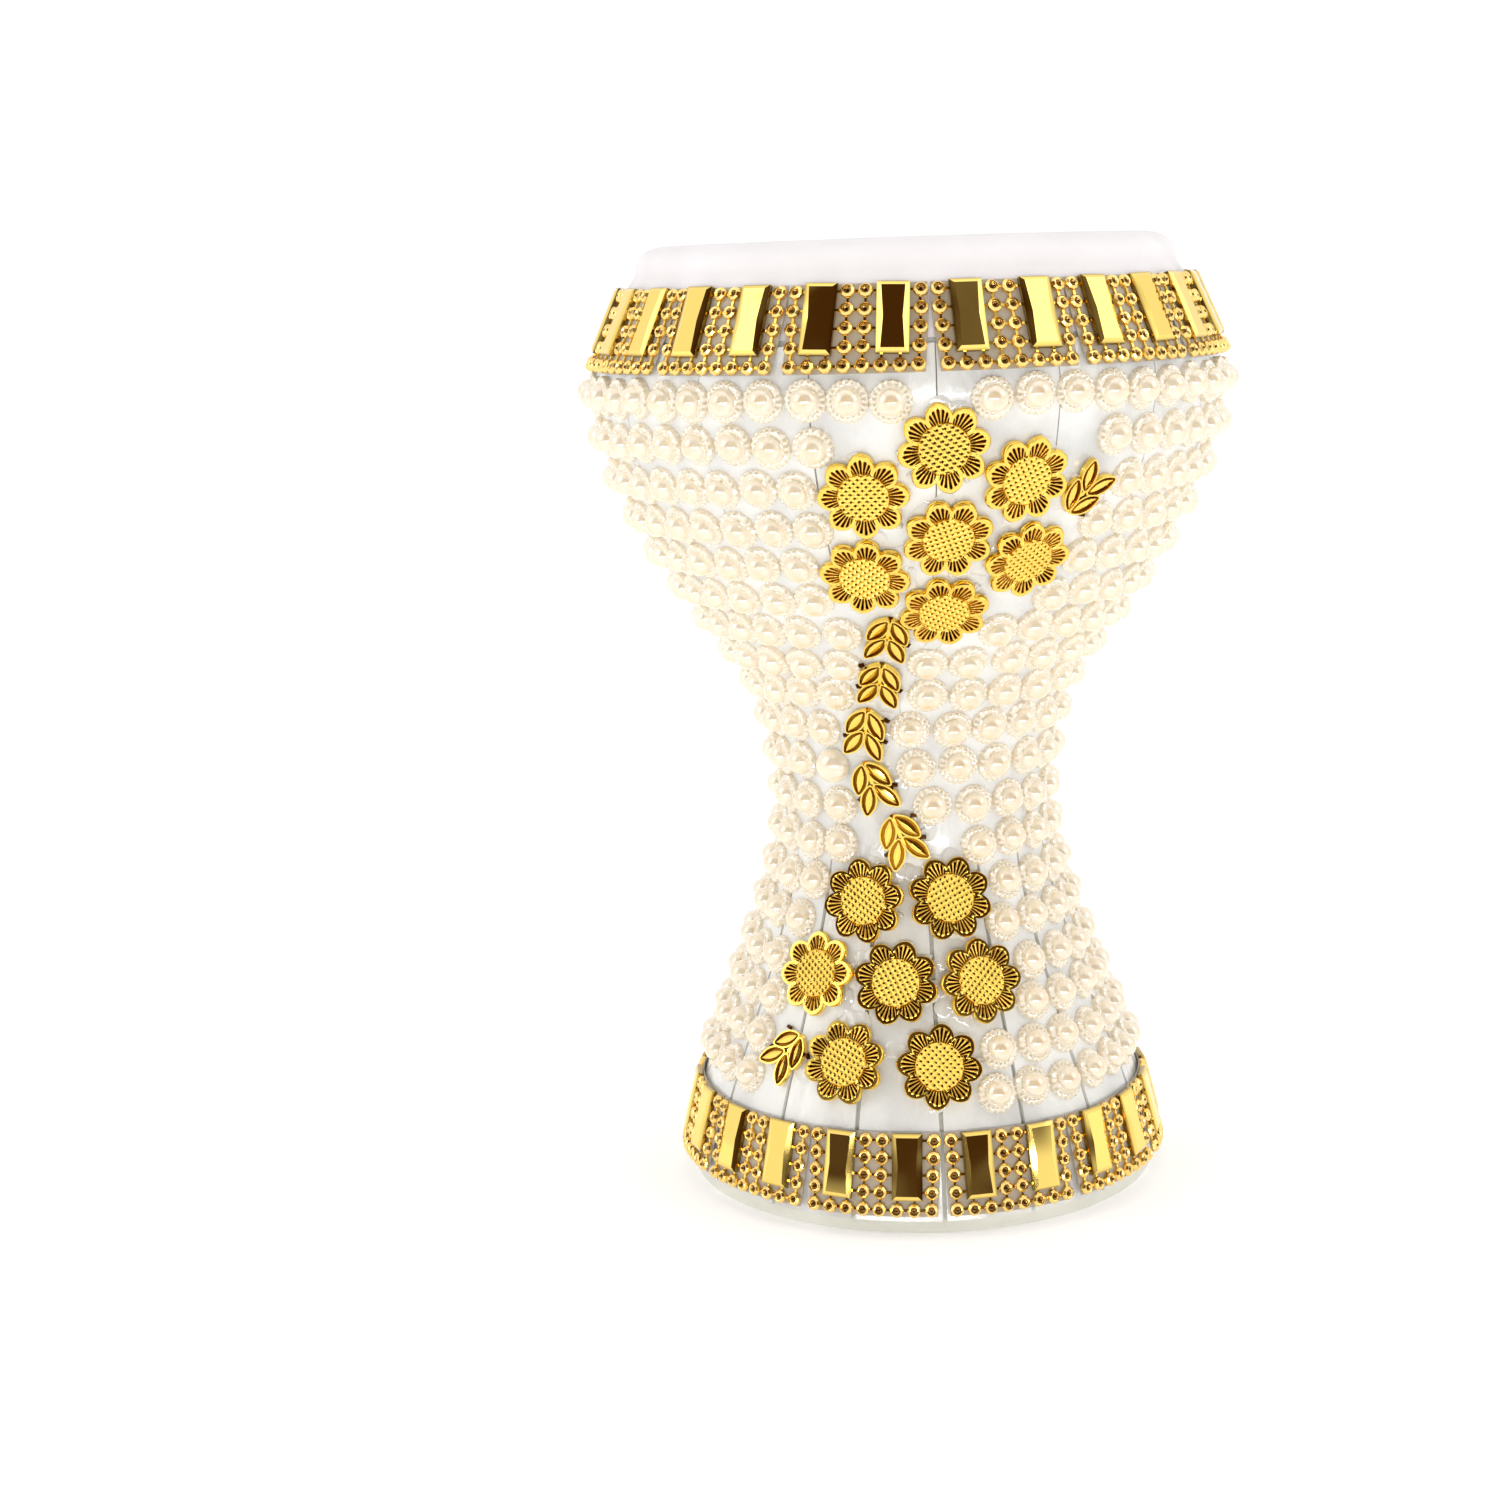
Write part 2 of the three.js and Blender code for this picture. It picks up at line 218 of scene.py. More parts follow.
def grid(rows, columns, around_rows=False, around_columns=False):
    """Quads over points numbered row by row."""
    i = np.arange(rows if around_rows else rows - 1)[:, None]
    j = np.arange(columns if around_columns else columns - 1)[None, :]
    i2, j2 = (i + 1) % rows, (j + 1) % columns
    corners = [i * columns + j, i * columns + j2, i2 * columns + j2, i2 * columns + j]
    return np.stack([np.broadcast_to(c, (len(i), j.shape[1])) for c in corners], -1)


def slab_faces(rows, columns):
    """Quads of a grid of points, of a second grid under it, and of the edge between them."""
    n = rows * columns
    faces = grid(rows, columns).reshape(-1, 4)
    loop = list(range(columns)) + [columns * r + columns - 1 for r in range(1, rows)]
    loop += [n - columns + c for c in range(columns - 2, -1, -1)]
    loop += [columns * r for r in range(rows - 2, 0, -1)]
    edge = np.array([(a, b, b + n, a + n) for a, b in zip(loop, loop[1:] + loop[:1])])
    return np.concatenate([faces, faces[:, ::-1] + n, edge[:, ::-1]])


def turn_outline(outline):
    """A closed outline of radius and height turned about the drum's axis."""
    r, z = np.asarray(outline, float).T
    azimuth = np.arange(ROUND)[:, None] * 360.0 / ROUND
    return Mesh().add(polar(azimuth, r, z), grid(ROUND, len(r), True, True)[:, :, ::-1])


def closed(rows, top, bottom):
    """A surface from a top point over rings of points to a bottom point."""
    turns = len(rows[0])
    k = np.arange(turns)
    after = (k + 1) % turns
    verts = np.concatenate([[top], *rows, [bottom]])
    last = 1 + turns * (len(rows) - 1)
    caps = np.concatenate([
        np.stack([np.zeros(turns, int), 1 + k, 1 + after], -1),
        np.stack([np.full(turns, len(verts) - 1), last + after, last + k], -1)])
    return verts, grid(len(rows), turns, False, True).reshape(-1, 4)[:, ::-1] + 1, caps


def dome(profile, count, mark=None):
    """A round cap over its own z axis: profile from the middle outward, then closed below."""
    r, z = np.asarray(profile, float).T
    a = np.arange(count) * 2 * np.pi / count
    rings = [np.stack([radius * np.cos(a), radius * np.sin(a), np.full(count, height)], -1)
             for radius, height in zip(r[1:], z[1:])]
    marks = 0.0
    if mark is not None:
        marks = np.concatenate([[mark[0]], np.repeat(mark[1:], count), [mark[-1]]])
    return Mesh().add(*closed(rings, (0, 0, z[0]), (0, 0, z[-1])), marks)


BOX_FACES = [(0, 3, 2, 1), (4, 5, 6, 7), (0, 1, 5, 4), (1, 2, 6, 5), (2, 3, 7, 6), (3, 0, 4, 7)]


def block(x, y, z, top=1.0):
    """A block standing on z 0, its top face drawn in."""
    low = [(-x, -y, 0), (x, -y, 0), (x, y, 0), (-x, y, 0)]
    high = [(px * top, py * top, z) for px, py, _ in low]
    return Mesh().add(low + high, BOX_FACES)


def piece(name, mesh, material, slot, *nodes, sharp=32.0):
    """One named object of the drum, riding on it and standing for its CAD nodes."""
    verts, quads, tris, marks = mesh.arrays()
    data = bpy.data.meshes.new(name)
    data.vertices.add(len(verts))
    data.vertices.foreach_set("co", (verts * MM).ravel())
    data.loops.add(quads.size + tris.size)
    data.loops.foreach_set("vertex_index", np.concatenate([quads.ravel(), tris.ravel()]))
    sizes = np.concatenate([np.full(len(quads), 4), np.full(len(tris), 3)])
    data.polygons.add(len(sizes))
    data.polygons.foreach_set("loop_start", np.concatenate([[0], np.cumsum(sizes)[:-1]]))
    data.polygons.foreach_set("use_smooth", np.ones(len(sizes), bool))
    data.update(calc_edges=True)
    data.validate()
    data.attributes.new("mark", "FLOAT", "POINT").data.foreach_set("value", marks)
    data.set_sharp_from_angle(angle=math.radians(sharp))
    data.materials.append(material)
    thing = bpy.data.objects.new(name, data)
    bpy.context.scene.collection.objects.link(thing)
    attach(thing, "root")
    if nodes:
        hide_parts(*nodes)


# ---- materials ----
def shader(name, color, roughness, metallic=0.0, **sockets):
    """A plain material; other sockets by their names, with _ for a space."""
    material = bpy.data.materials.new(name)
    material.use_nodes = True
    bsdf = material.node_tree.nodes["Principled BSDF"]
    bsdf.inputs["Base Color"].default_value = (*color, 1)
    bsdf.inputs["Roughness"].default_value = roughness
    bsdf.inputs["Metallic"].default_value = metallic
    for socket, value in sockets.items():
        bsdf.inputs[socket.replace("_", " ")].default_value = value
    return material, material.node_tree, bsdf


def noise(tree, scale, detail, stretch=(1, 1, 1)):
    """A cloudy pattern fixed to the piece, scale cells to the metre."""
    place = tree.nodes.new("ShaderNodeTexCoord")
    mapping = tree.nodes.new("ShaderNodeMapping")
    mapping.inputs["Scale"].default_value = stretch
    texture = tree.nodes.new("ShaderNodeTexNoise")
    texture.inputs["Scale"].default_value = scale
    texture.inputs["Detail"].default_value = detail
    tree.links.new(place.outputs["Object"], mapping.inputs["Vector"])
    tree.links.new(mapping.outputs["Vector"], texture.inputs["Vector"])
    return texture.outputs["Fac"]


def ramp(tree, value, stops):
    """The value turned into a colour between stops of position and colour."""
    node = tree.nodes.new("ShaderNodeValToRGB")
    for spare in list(node.color_ramp.elements)[1:]:
        node.color_ramp.elements.remove(spare)
    node.color_ramp.elements[0].position = stops[0][0]
    node.color_ramp.elements[0].color = (*stops[0][1], 1)
    for position, color in stops[1:]:
        node.color_ramp.elements.new(position).color = (*color, 1)
    tree.links.new(value, node.inputs["Fac"])
    return node.outputs["Color"]


def bump(tree, bsdf, height, distance):
    """Ripples, distance millimetres high."""
    node = tree.nodes.new("ShaderNodeBump")
    node.inputs["Distance"].default_value = distance * MM
    node.inputs["Strength"].default_value = 1.0
    tree.links.new(height, node.inputs["Height"])
    tree.links.new(node.outputs["Normal"], bsdf.inputs["Normal"])


def mark_of(tree):
    """The mesh's own number at a point."""
    node = tree.nodes.new("ShaderNodeAttribute")
    node.attribute_name = "mark"
    return node.outputs["Fac"]


def marked(name, plain, deep, roughness, metallic, satin=None, waves=0.0, middle=None, **sockets):
    """A finish that goes from one colour to another with the mesh's own mark.

    Middle is the colour on the way. With satin, marks from 0.3 up are that rough and a mark of 0
    keeps the polish. Waves is the height in millimetres of the ripples in a plated surface.
    """
    material, tree, bsdf = shader(name, plain, roughness, metallic, **sockets)
    mark = mark_of(tree)
    tones = [(0.0, plain), (0.35, plain), (1.0, deep)]
    if middle is not None:
        tones.insert(2, (0.62, middle))
    tree.links.new(ramp(tree, mark, tones), bsdf.inputs["Base Color"])
    if waves:
        bump(tree, bsdf, noise(tree, 80, 0), waves)
    if satin is not None:
        tones = [(0.0, (roughness,) * 3), (0.3, (satin,) * 3), (1.0, (satin,) * 3)]
        tree.links.new(ramp(tree, mark, tones), bsdf.inputs["Roughness"])
    return material


def make_clay():
    """Matt white paint over gritty clay."""
    material, tree, bsdf = shader("painted_clay", (0.80, 0.79, 0.72), 0.75)
    tree.links.new(ramp(tree, noise(tree, 38, 5), [
        (0.3, (0.70, 0.70, 0.62)), (0.7, (0.82, 0.82, 0.74))]), bsdf.inputs["Base Color"])
    bump(tree, bsdf, noise(tree, 420, 4), 0.25)
    return material


def make_skin():
    """Pale mottled hide; the flat of the head is painted a little greyer, painted shade against
    the strong light from above.
    """
    material, tree, bsdf = shader("drum_skin", (0.86, 0.83, 0.85), 0.75, Specular_IOR_Level=0.15)
    # Painted shade: mark 1, the flat of the head, is greyer than the rounded rim and skirt
    plain = ramp(tree, mark_of(tree), [(0.0, (0.94, 0.91, 0.92)), (1.0, (0.86, 0.83, 0.83))])
    mottle = ramp(tree, noise(tree, 34, 6), [(0.3, (0.93, 0.925, 0.91)), (0.65, (1, 1, 1))])
    both = tree.nodes.new("ShaderNodeMix")
    both.data_type = "RGBA"
    both.blend_type = "MULTIPLY"
    both.inputs["Factor"].default_value = 1.0
    tree.links.new(plain, both.inputs["A"])
    tree.links.new(mottle, both.inputs["B"])
    tree.links.new(both.outputs["Result"], bsdf.inputs["Base Color"])
    bump(tree, bsdf, noise(tree, 60, 5), 0.3)
    return material


def make_sheet():
    """Glossy white foil, faintly dirty and rippled along its tongues, with a faint painted glow
    that lifts its shade.
    """
    # Emission: a painted cream glow that lifts the foil's shade; the foil gives no light of its
    # own
    material, tree, bsdf = shader("white_sheet", (0.84, 0.84, 0.84), 0.24,
                                  Coat_Weight=0.6, Coat_Roughness=0.1,
                                  Emission_Color=(1.0, 0.96, 0.88, 1), Emission_Strength=0.05)
    tree.links.new(ramp(tree, noise(tree, 42, 6), [
        (0.36, (0.63, 0.63, 0.61)), (0.6, (0.82, 0.82, 0.79))]), bsdf.inputs["Base Color"])
    bump(tree, bsdf, noise(tree, 75, 5, (1, 1, 0.45)), 2.2)
    return material


def make_pearl():
    """Cream lacquer with depth: glossy coat, some light scattered inside, and a painted cream glow
    that lifts its shade.
    """
    # Plain tan: painted reflection of the dark patch, at the dome's apex; deep cream: the flanks;
    # emission: painted glow
    return marked("pearl", (0.72, 0.56, 0.36), (0.82, 0.72, 0.57), 0.16, 0.0,
                  IOR=2.4, Coat_Weight=1.0, Coat_Roughness=0.06, Coat_IOR=1.8,
                  Subsurface_Weight=0.6, Subsurface_Radius=(0.008, 0.006, 0.004),
                  Subsurface_Scale=1.0, Emission_Color=(1.0, 0.88, 0.70, 1),
                  Emission_Strength=0.10)


clay_finish = make_clay()
skin_finish = make_skin()
sheet_finish = make_sheet()
pearl_finish = make_pearl()
# The gold's near-black deep colour and brown middle are painted shade in slots, dimples, grooves
# and nubs
gold_finish = marked("gold", (1.0, 0.70, 0.14), (0.07, 0.020, 0.001), 0.06, 1.0,
                     satin=0.30, middle=(0.62, 0.29, 0.015))
# The mirror gold's deep colour darkens the baguettes' sides and bevels: painted reflection and
# shade
mirror_finish = marked("mirror_gold", (1.0, 0.73, 0.19), (0.08, 0.03, 0.004), 0.06, 1.0,
                       waves=0.25)
# The stud gold's deep colour: painted shade in the middle of each cup and at its foot
stud_finish = marked("stud_gold", (1.0, 0.70, 0.23), (0.10, 0.035, 0.006), 0.2, 1.0)
# Grey-brown of the ribbons' backing strips: glue, with painted shade standing for the dark between
# the studs
backing_glue_and_shade_finish = marked("net", (0.47, 0.41, 0.32), (0.85, 0.60, 0.20), 0.45, 0.0)
glue_finish, _, _ = shader("hot_glue", (0.74, 0.73, 0.69), 0.08, IOR=1.6,
                           Coat_Weight=0.8, Coat_Roughness=0.03)


# ---- clay goblet ----
def clay_goblet():
    """The shell: outside, rounded rims, and an inside with the rings left by throwing."""
    z = np.linspace(1.4, RIM - 1.6, 130)
    inner_z = np.linspace(RIM - 1.6, 1.4, 90)
    inner, _ = wall(inner_z, -WALL)
    inner = inner + 0.22 * np.sin(inner_z * 2 * np.pi / 7.0)
    foot_out, foot_in = clay_radius(0.0), inner[-1]
    head_out, head_in = clay_radius(RIM), inner[0]
    outline = [(foot_in + 0.4, 0.4), (foot_in + 1.4, 0.0), (foot_out - 1.3, 0.0),
               (foot_out - 0.35, 0.4)]
    outline += list(zip(clay_radius(z), z))
    outline += [(head_out - 0.3, RIM - 0.5), (head_out - 1.4, RIM), (head_in + 1.4, RIM),
                (head_in + 0.4, RIM - 0.5)]
    outline += list(zip(inner, inner_z))
    piece("clay_goblet", turn_outline(outline), clay_finish, "clay", "clay_shell")


# ---- skin ----
def skin_outline(lift):
    """From the middle of the head over the rounded rim and down the skirt."""
    corner = 64.5  # where the flat of the head starts to round over
    z = np.linspace(252.0, SKIRT_BOTTOM, 14)
    radius, height = wall(z, lift)
    start = np.array([corner, DRUM_HEIGHT - SKIN - GAP + lift])
    end = np.array([radius[0], height[0]])
    pull = np.array([end[0] - 0.3, start[1]])
    t = np.linspace(0, 1, 12)[:, None]
    bend = (1 - t) ** 2 * start + 2 * t * (1 - t) * pull + t * t * end
    flat = [(r, start[1]) for r in np.linspace(0.0, corner - 2.0, 18)]
    return flat + [tuple(p) for p in bend] + list(zip(radius[1:], height[1:]))


def drum_skin():
    """An outer and an inner face, puckered down the skirt and not quite even on top."""
    outline = skin_outline(GAP + SKIN) + skin_outline(GAP)[::-1]
    azimuth = np.arange(ROUND) * 360.0 / ROUND
    a = np.radians(azimuth)
    pucker = 0.10 * np.sin(23 * a) + 0.08 * np.sin(41 * a + 1.0)
    rings = [polar(azimuth, r + pucker * np.clip((r - 66) / 6, 0, 1),
                   z + 0.05 * np.sin(3 * a + r / 9) * (r > 5)) for r, z in outline[1:-1]]
    verts, quads, tris = closed(rings, (0, 0, outline[0][1]), (0, 0, outline[-1][1]))
    # Mark for the painted shade: 1 on the flat of the head, 0 from the rounded rim down
    flat = np.clip((67.5 - np.hypot(verts[:, 0], verts[:, 1])) / 3.5, 0, 1)
    piece("skin", Mesh().add(verts, quads, tris, flat), skin_finish, "skin", "drum_skin")


# ---- white covering ----
def slit_half(z):
    """Half the slit's width at a height, running to a point at its end."""
    low = np.clip((FOOT_SLIT_TOP - z) / SLIT_POINT, 0, 1) ** 0.6 * FOOT_SLIT
    high = np.clip((z - BOWL_SLIT_BOTTOM) / SLIT_POINT, 0, 1) ** 0.6 * BOWL_SLIT
    return np.maximum(low, high) / 2


def white_cover():
    """Tabs between the slits, each a little curled and wavy where it isn't held."""
    z = np.concatenate([
        np.linspace(COVER[0], FOOT_SLIT_TOP, 60),
        np.linspace(FOOT_SLIT_TOP, BOWL_SLIT_BOTTOM, 40)[1:],
        np.linspace(BOWL_SLIT_BOTTOM, COVER[1], 44)[1:]])[:, None]
    rows, across = len(z), 14
    t = np.linspace(0, 1, across)[None, :]
    opening = slit_half(z)
    free = np.clip(opening / (BOWL_SLIT / 2), 0, 1)
    inset = np.degrees(opening / clay_radius(z))
    edge = np.abs(2 * t - 1) ** 4

    under = rows * across  # from a point to the one below it
    quads = grid(rows, across).reshape(-1, 4)
    split = (free[:-1, 0] > 0) | (free[1:, 0] > 0)
    left = np.arange(rows) * across
    lower, upper = left[:-1][split], left[1:][split]
    right = across - 1
    bottom = np.arange(across - 1)
    top = (rows - 1) * across + bottom

    def side(a, b):
        return np.stack([a, b, b + under, a + under], -1)

    faces = np.concatenate([
        quads, quads[:, ::-1] + under, side(lower, upper), side(upper + right, lower + right),
        side(bottom + 1, bottom), side(top, top + 1)])

    mesh = Mesh()
    for tab in range(TABS):
        azimuth = FIRST_SLIT + tab * 360.0 / TABS + inset + t * (360.0 / TABS - 2 * inset)
        curl = rng.uniform(0.05, 0.35, 2)
        phase = rng.uniform(0, 6.28, 3)
        wave = 0.10 * np.sin(z / 9 + phase[0]) * np.sin(np.pi * t) + 0.06 * np.sin(
            z / 4.3 + phase[1] + 3 * t)
        loose = free * (edge * np.where(t < 0.5, curl[0], curl[1]) + wave)
        mesh.add(np.concatenate([
            polar(azimuth, *wall(z + 0 * t, GAP + SHEET + loose)).reshape(-1, 3),
            polar(azimuth, *wall(z + 0 * t, GAP + 0.8 * loose)).reshape(-1, 3)]), faces)
    piece("white_sheet_cover", mesh.welded(), sheet_finish, "cover", "white_cover")


# ---- ribbons ----
# Marks: 1 in the cup's hollow middle, near black, and 0.2 at the foot: painted shade; rim and
# flanks stay plain gold
STUD = dome([(0, 0.72), (0.40, 0.76), (0.74, 0.96), (1.02, 1.4), (1.3, 1.46), (1.76, 1.05),
             (1.94, 0.5), (1.86, 0.0), (0, 0.0)], 9, mark=[1, 1, 0.8, 0, 0, 0, 0, 0.2, 0.2])


def baguette(width, length, height):
    """A bar with bevelled edges; its long bevels are widest in the middle. Its sides and bevels
    are darkened with painted reflection and shade.
    """
    w, l = width / 2, length / 2
    levels = [(0.15, 0.0, 0.0), (0.0, 0.5, 0.0), (0.05, height - 0.6, 0.0), (1.15, height, 0.55)]
    rings = [[(i - w, i - l, z), (w - i, i - l, z), (w - i - waist, 0, z + 0.1 * waist),
              (w - i, l - i, z), (i - w, l - i, z), (i - w + waist, 0, z + 0.1 * waist)]
             for i, z, waist in levels]
    quads = [[6 * a + b, 6 * a + (b + 1) % 6, 6 * a + 6 + (b + 1) % 6, 6 * a + 6 + b]
             for a in range(len(levels) - 1) for b in range(6)]
    top = 6 * (len(levels) - 1)
    quads += [[top, top + 1, top + 2, top + 5], [top + 5, top + 2, top + 3, top + 4],
              [5, 2, 1, 0], [4, 3, 2, 5]]
    # Sides and bevels marked 0.7 to 0.8, darker: painted reflection and shade; the flat top, 0,
    # stays mirror gold
    return Mesh().add(np.array(rings), quads, mark=np.repeat([0.8, 0.8, 0.7, 0.0], 6))


def ribbon(name, low, high, sections, first):
    """Studs, links, baguettes and backing of one ribbon, from its lower to its upper edge; the
    backing is glue-brown with painted shade.
    """
    low, high = np.array(low), np.array(high)
    slant = np.linalg.norm(high - low)
    along = (high - low) / slant
    margin = 2.2  # from the middle of the outer studs to the ribbon's edge
    row_pitch = (slant - 2 * margin) / (ROWS - 1)
    row_at = [slant - margin - row_pitch * k for k in range(ROWS)]

    def place(section, across, s, lift=0.0):
        """A frame on the ribbon, across from the section's middle and s up from its low edge."""
        radius, height = low + along * s + np.array([along[1], -along[0]]) * lift
        azimuth = first + (section + 0.5) * 360.0 / sections + math.degrees(across / radius)
        up = polar(azimuth, along[0], along[1])
        right = polar(azimuth + 90, 1.0, 0.0)
        return basis(right, up, np.cross(right, up), polar(azimuth, radius, height))

    def pitch(s):
        """From column to column, closer together where the ribbon is tight."""
        radius = low[0] + along[0] * s + 0.8
        return min(STUD_PITCH, 2 * math.pi * radius / (sections * COLUMNS))

    studs, bars, links, strips = [], [], [], Mesh()
    for section in range(sections):
        skew = rng.uniform(-0.5, 0.5)  # the section's low edge is this far round from its top

        def drift(s):
            return skew * (1 - s / slant)

        for row, s in enumerate(row_at):
            step = pitch(s)
            for column in range(COLUMNS):
                across = (column - (COLUMNS - 1) / 2) * step + drift(s)
                under_bar = column in BAR_COLUMNS and row < ROWS - 1
                jitter = rng.uniform(-1, 1, 3)
                if not under_bar:
                    spot = place(section, across + 0.08 * jitter[0], s + 0.08 * jitter[1], 0.35)
                    studs.append(spot @ turned(jitter[2] * 30))
                if column < COLUMNS - 1 and not (column in BAR_COLUMNS[::2] and row < ROWS - 1):
                    spot = place(section, across + step / 2, s, 0.25)
                    links.append(spot @ scaled(step / 2, 0.3, 1))
                if row < ROWS - 1 and (not under_bar or row == ROWS - 2):
                    spot = place(section, across, s - row_pitch / 2, 0.25)
                    links.append(spot @ scaled(0.3, row_pitch / 2, 1))
        middle = (row_at[0] + row_at[3]) / 2
        for side in (-1, 1):
            spot = place(section, side * 2 * pitch(middle) + drift(middle), middle, 0.3)
            bars.append(spot @ turned(rng.uniform(-1.2, 1.2)) @ turned(rng.uniform(-2.0, 2.0), 1)
                        @ turned(rng.uniform(-1.5, 1.5), 0))
        steps_up, steps_across = 7, 13
        corners = np.array([
            place(section, x * (pitch(s) * COLUMNS / 2 - 0.5) + drift(s), s)[:3, 3]
            for s in np.linspace(0, 1, steps_up) * (slant - 0.6) + 0.5
            for x in np.linspace(-1, 1, steps_across)])
        front = corners + polar(azimuth_of(corners), along[1] * 0.25, -along[0] * 0.25)
        strips.add(np.concatenate([front, corners]), slab_faces(steps_up, steps_across))
    bar = baguette(2 * STUD_PITCH - 0.9, 3 * row_pitch + 4.0, 1.95)
    piece(name + "_studs", STUD.copies(studs), stud_finish, "ribbon_gold", name, sharp=20.0)
    piece(name + "_baguettes", bar.copies(bars), mirror_finish, "ribbon_gold", name, sharp=5.0)
    piece(name + "_net", block(1, 1, 0.55).copies(links), gold_finish, "ribbon_gold", name)
    piece(name + "_backing", strips, backing_glue_and_shade_finish, "ribbon_gold", name)


# ---- gold flowers ----
def petal_angle(a):
    """Degrees from the middle line of the petal that lies in the direction a."""
    return (np.degrees(a) + HALF_PETAL) % (2 * HALF_PETAL) - HALF_PETAL


def petal_edge(a):
    """Radius of the outline: each petal is a round lobe drawn out to a slight point."""
    lobe = petal_angle(a)
    b = np.radians(lobe)
    middle, bulge, point = 8.0, 3.35, 0.25
    round_part = middle * np.cos(b) + np.sqrt(bulge ** 2 - (middle * np.sin(b)) ** 2)
    return round_part + point * (1 - np.abs(lobe) / HALF_PETAL) ** 2


def flower():
    """Rim and petal valleys are polished, petals are slotted, the disc is woven and dimpled; slots
    and dimples are painted dark as shade.
    """
    turns, rings = 368, 52
    plate, disc, rim = 1.6, 6.5, 1.25
    cell, slot_step = 1.42, 7.6  # pitch of the weave, and of the slots in degrees
    a = np.arange(turns) * 2 * np.pi / turns
    edge, lobe = petal_edge(a), petal_angle(a)
    t = np.linspace(0.01, 1, rings)[:, None]
    r = t * edge
    x, y = r * np.cos(a), r * np.sin(a)
    inside = r <= disc
    valley = np.radians(HALF_PETAL - np.abs(lobe)) * r < 0.6
    polished = (r > edge - rim) | (valley & ~inside)
    field = ~inside & ~polished
    spread = lobe / (0.7 + 0.3 * np.clip((r - disc) / 3.2, 0, 1))
    comb = np.cos(np.radians(spread) * 360 / slot_step)
    slot = field & (comb > 0.25) & (r > disc + 0.1) & (r < edge - rim - 0.1)
    dx = np.abs((x / cell + 0.5) % 1 - 0.5) * cell
    dy = np.abs((y / cell + 0.5) % 1 - 0.5) * cell
    dimple = inside & (np.hypot(dx, dy) < 0.27) & (r < disc - 0.35)
    over = np.sin(np.pi * x / cell) ** 2 - np.sin(np.pi * y / cell) ** 2
    height = np.where(inside, plate + 0.1 + 0.26 * over, plate)
    height = np.where(field, plate - 0.5 + 0.3 * (0.5 - 0.5 * comb) + 0.12 * (r - disc), height)
    height = np.where(slot, plate - 1.25, height)
    height = np.where(dimple, plate - 0.45, height)
    height = np.where(valley & ~inside & (r < edge - rim), plate - 0.12, height)
    height = np.where(np.abs(r - disc - 0.06) < 0.11, plate - 0.45, height)
    # Painted shade: slots and dimples marked 1, near black; the petal field darkens from each
    # ridge toward its slot
    mark = np.where(polished, 0.0, 0.3)
    mark = np.where(field, 0.38 + 0.3 * np.clip((comb + 1) / 1.25, 0, 1), mark)
    mark = np.where(slot | dimple, 1.0, mark)
    top = np.stack([x, y, height], -1)
    lip = top[-1] * (1.0, 1.0, 0) + (0, 0, plate - 0.3)
    foot = lip * (1, 1, 0)
    top[-1] *= (0.974, 0.974, 1)
    marks = np.concatenate([[0.3], mark.ravel(), np.zeros(2 * turns), [0.3]])
    return Mesh().add(*closed([*top, lip, foot], (0, 0, plate), (0, 0, 0)), marks)


def plate_frame(node, turn=0.0):
    """The plane of a flat CAD piece: its underside, its middle, x to the right, y upward."""
    points = packed_points(node)
    middle = points.mean(0)
    out = np.linalg.svd(points - middle)[2][2]
    out = out * np.sign(out[:2] @ middle[:2])
    right = unit(np.cross((0, 0, 1), out))
    m = basis(right, np.cross(out, right), out, middle) @ turned(turn)
    local = (points - middle) @ m[:3, :3]
    centre = (local.max(0) + local.min(0)) / 2
    return m @ shifted(centre[0], centre[1], local[:, 2].min()), local - centre


def flowers():
    """A flower on each packed plate, its petals turned to meet the plate's own."""
    shape = flower()
    names = sorted(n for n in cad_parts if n.startswith("flower_"))
    for name in names:
        place, local = plate_frame(name)
        far = local[np.argmax(np.hypot(local[:, 0], local[:, 1]))]
        turn = math.degrees(math.atan2(far[1], far[0]))
        tilt = rng.uniform(-2.5, 2.5, 2)
        place = place @ turned(tilt[0], 0) @ turned(tilt[1], 1) @ turned(turn)
        piece("gold_" + name, shape.copies([place]), gold_finish, "gold", name, sharp=50.0)


# ---- leaf sprigs ----
def leaf():
    """One leaf, root at the origin, pointing down -y: rim, groove and a raised middle; the groove
    is painted dark as shade.
    """
    length, width = 9.1, 4.8
    rows, across = 44, 33
    t = np.linspace(0.0, 1.0, rows)[:, None]
    v = np.linspace(-1, 1, across)[None, :]
    half = width / 2 * np.sin(np.pi * (0.02 + 0.96 * t)) ** 0.72
    x, y = half * v, -length * t + 0 * v
    inset = np.minimum(half * (1 - np.abs(v)), 2.2 * np.minimum(t, 1 - t) * length * 0.5)
    height = np.where(inset < 0.5, 1.5, 0.55)
    lens = np.abs(v) < 0.42 * np.sin(np.pi * np.clip((t - 0.1) / 0.8, 0, 1)) ** 0.5
    lens = lens & (t > 0.1) & (t < 0.9)
    height = np.where(lens, 1.15 + 0.35 * (1 - np.abs(v) / 0.45), height)
    # Painted shade: the groove between rim and middle is marked 0.9, dark; the raised middle 0.1
    # and the rim 0 stay bright
    dark = np.where(lens, 0.1, np.where(inset >= 0.5, 0.9, 0.0))
    top = np.stack([x, y, height], -1).reshape(-1, 3)
    under = top * (1, 1, 0)
    marks = np.concatenate([dark.ravel(), np.zeros(rows * across)])
    return Mesh().add(np.concatenate([top, under]), slab_faces(rows, across)[:, ::-1], mark=marks)


